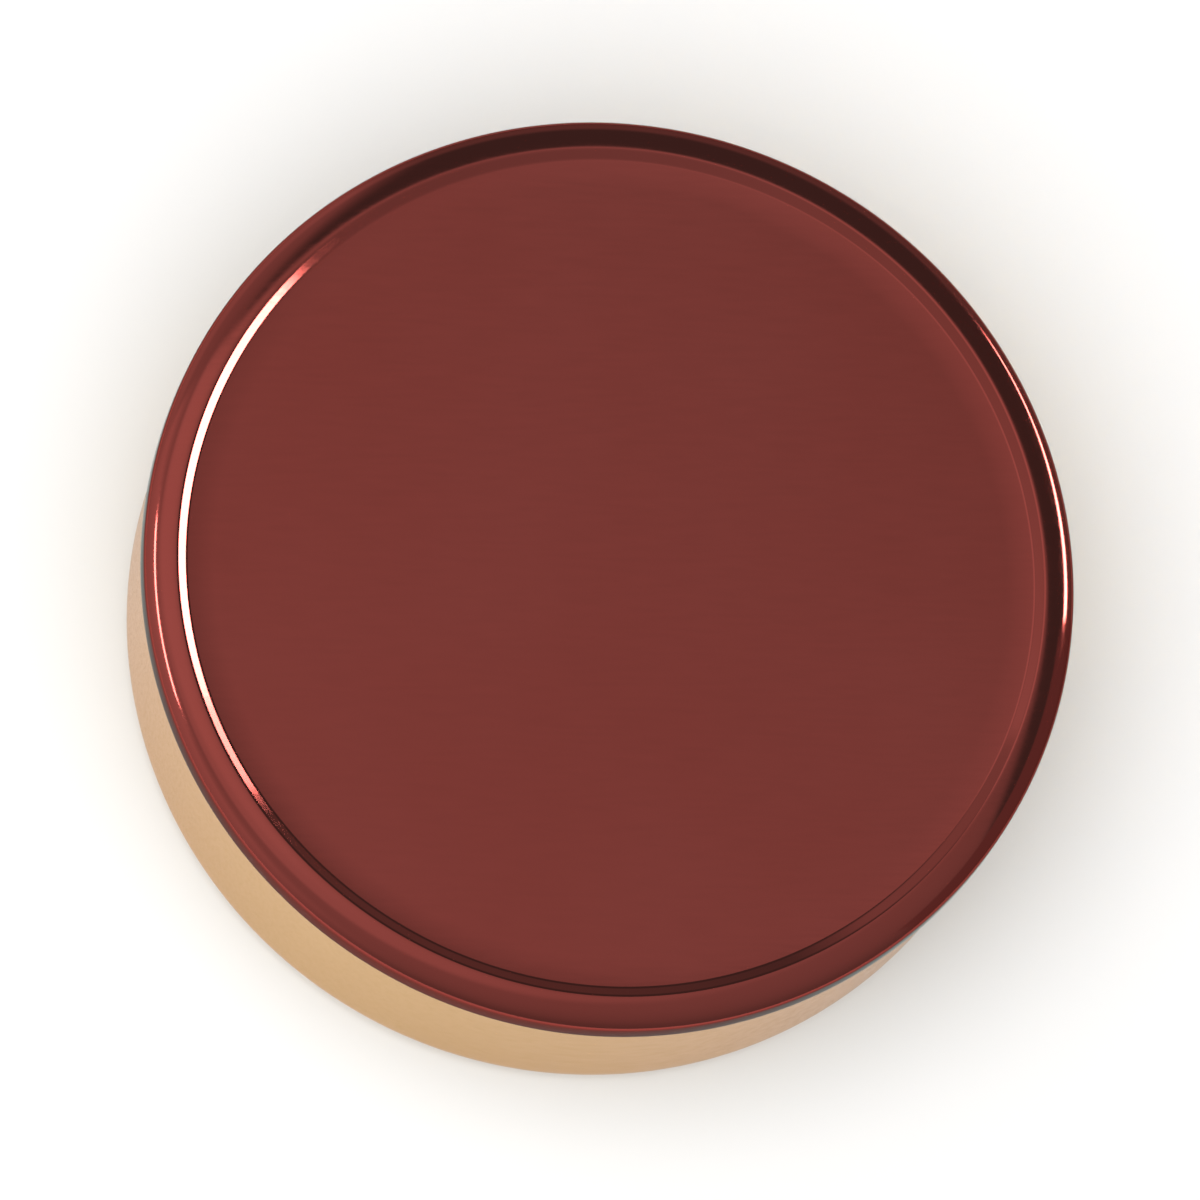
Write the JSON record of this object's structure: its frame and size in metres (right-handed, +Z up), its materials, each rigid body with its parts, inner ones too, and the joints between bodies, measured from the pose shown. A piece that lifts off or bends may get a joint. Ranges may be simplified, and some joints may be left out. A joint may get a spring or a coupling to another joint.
{
  "type": "shoe polish tin",
  "caption": "Low round slip-lid tin of solid wax shoe polish: recessed-panel pressed lid with a raised rounded rim, straight drawn can, sealing ring and polish cake.",
  "frame": {"origin": "centre of the foot ring, on the surface that the tin stands on", "axes": "+Z up along the tin's axis, out through the lid; the tin is round, so +X and +Y are any two directions square to it"},
  "size_m": [0.07, 0.07, 0.0215],
  "materials": {
    "burgundy_lacquer": "transparent burgundy lacquer over bright tinplate, high gloss",
    "gold_lacquer": "pale gold lacquer over tinplate, satin gloss",
    "seal_compound": "off-white sealing compound, matte",
    "wax_polish": "hard dark burgundy wax paste, satin skin"
  },
  "bodies": {
    "base": {"base_can": "gold_lacquer", "polish_cake": "wax_polish"},
    "seal": {"sealing_ring": "seal_compound"},
    "lid": {"lid_shell": "burgundy_lacquer"}
  },
  "joints": [
    {"name": "lid_lift", "type": "slide", "parent": "base", "child": "seal", "axis": [0, 0, 1], "range_m": [0, 0.03]},
    {"name": "lid_turn", "type": "hinge", "parent": "seal", "child": "lid", "pos_m": [0, 0, 0.0205], "axis": [0, 0, 1], "continuous": true}
  ]
}
